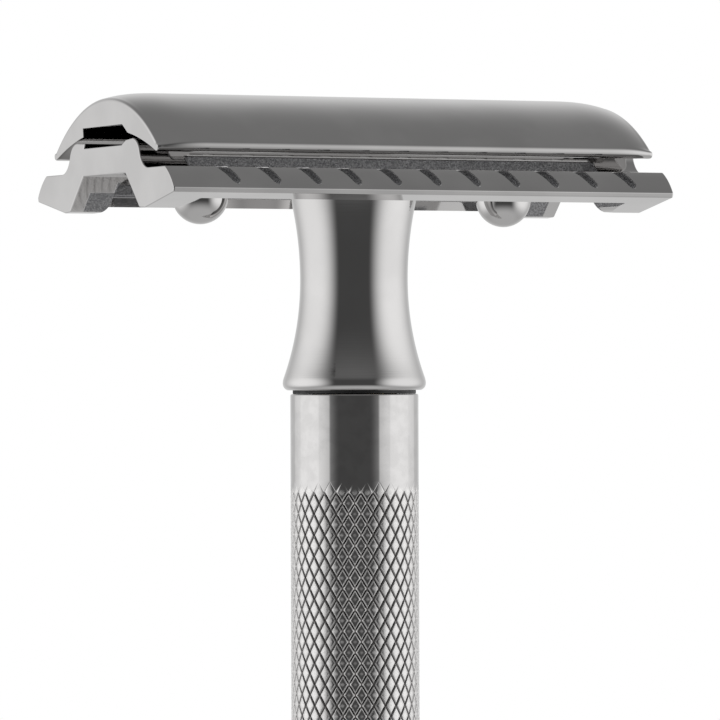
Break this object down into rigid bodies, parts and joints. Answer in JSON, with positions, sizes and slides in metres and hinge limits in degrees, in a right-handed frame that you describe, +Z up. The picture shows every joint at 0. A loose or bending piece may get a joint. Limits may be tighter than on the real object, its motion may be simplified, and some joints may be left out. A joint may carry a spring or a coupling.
{
  "type": "safety razor",
  "caption": "Double-edge safety razor: arched cap over a closed-comb base plate with slanted notches, flared neck and slim knurled handle that turns to release the cap.",
  "frame": {"origin": "middle of the pommel's flat foot, on which the razor stands", "axes": "+Z up the handle's axis to the cap, +X along the head, +Y across the head"},
  "size_m": [0.0422, 0.0266, 0.086],
  "materials": {
    "dark_chrome": "mirror-polished dark chrome plate",
    "cast_dark_chrome": "dark chrome plate, polished outside and rough as cast in the slots and notches",
    "knurled_dark_chrome": "dark chrome plate over a fine diamond knurl",
    "bright_steel": "turned steel",
    "spring_steel": "blued spring steel",
    "bronze": "sintered bronze",
    "brass": "turned brass",
    "black_acetal": "turned black acetal"
  },
  "bodies": {
    "head": {"base_plate": "cast_dark_chrome", "neck": "dark_chrome", "neck_bush": "bronze", "thrust_washer": "black_acetal", "backing_washer": "bright_steel", "wave_washer": "spring_steel"},
    "handle": {"handle_sleeve": "knurled_dark_chrome", "spindle": "brass", "retaining_ring": "spring_steel", "core_rod": "bright_steel", "pommel": "dark_chrome"},
    "cap": {"top_cap": "dark_chrome", "cap_stud": "bright_steel", "alignment_pin_left": "bright_steel", "alignment_pin_right": "bright_steel"}
  },
  "joints": [
    {"name": "handle_turn", "type": "hinge", "parent": "head", "child": "handle", "pos_m": [0, 0, 0.0629], "axis": [0, 0, -1], "range_deg": [0, 2520]},
    {"name": "cap_lift", "type": "slide", "parent": "head", "child": "cap", "axis": [0, 0, 1], "range_m": [0, 0.00561]}
  ],
  "couplings": [
    {"joint": "cap_lift", "follows": "handle_turn", "m_per_rad": 0.00012732}
  ]
}
